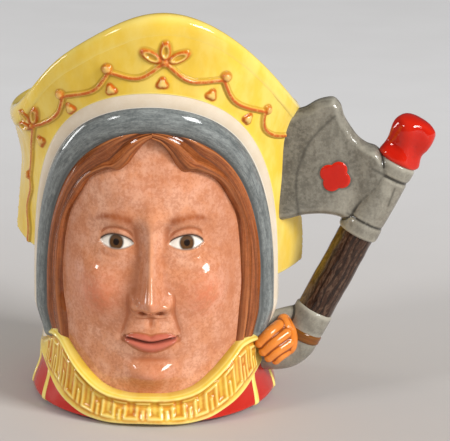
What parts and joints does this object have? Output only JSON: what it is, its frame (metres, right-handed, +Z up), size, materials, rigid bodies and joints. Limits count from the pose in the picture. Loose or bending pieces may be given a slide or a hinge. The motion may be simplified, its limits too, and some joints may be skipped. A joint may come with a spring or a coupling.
{
  "type": "character jug",
  "caption": "Small glazed ceramic jug shaped as a hooded head with a calm face, an ornamented brim around the mouth and a battle-axe for its handle.",
  "frame": {"origin": "middle of the flat foot, on the table", "axes": "+Z up, the face looks along -Y, the handle is on the +X side"},
  "size_m": [0.0827, 0.0578, 0.08],
  "materials": {
    "yellow_glaze": "gloss",
    "orange_glaze": "gloss",
    "skin_glaze": "gloss",
    "hair_glaze": "gloss",
    "grey_glaze": "gloss",
    "cream_glaze": "gloss",
    "red_glaze": "gloss",
    "wood_glaze": "gloss",
    "glove_glaze": "gloss",
    "strap_glaze": "gloss",
    "bare_clay": "matte"
  },
  "bodies": {
    "root": {"foot": "bare_clay", "pot": "cream_glaze", "tabard_panels": "red_glaze", "tabard_stripes": "yellow_glaze", "collar": "yellow_glaze", "collar_fret": "orange_glaze", "face": "skin_glaze", "hair_left": "hair_glaze", "hair_right": "hair_glaze", "coif_band": "grey_glaze", "lining_edge": "cream_glaze", "wimple": "cream_glaze", "hood_brim": "yellow_glaze", "hood_back": "yellow_glaze", "rim_lip": "yellow_glaze", "swag_cords": "orange_glaze", "swag_beads": "orange_glaze", "swag_drops": "orange_glaze", "bow_sprigs": "orange_glaze", "axe_shaft": "wood_glaze", "axe_socket": "grey_glaze", "axe_blade": "grey_glaze", "blade_emblems": "red_glaze", "knob": "red_glaze", "cuff": "grey_glaze", "strap": "strap_glaze", "sleeve": "grey_glaze", "gloved_hand": "glove_glaze"}
  },
  "joints": []
}
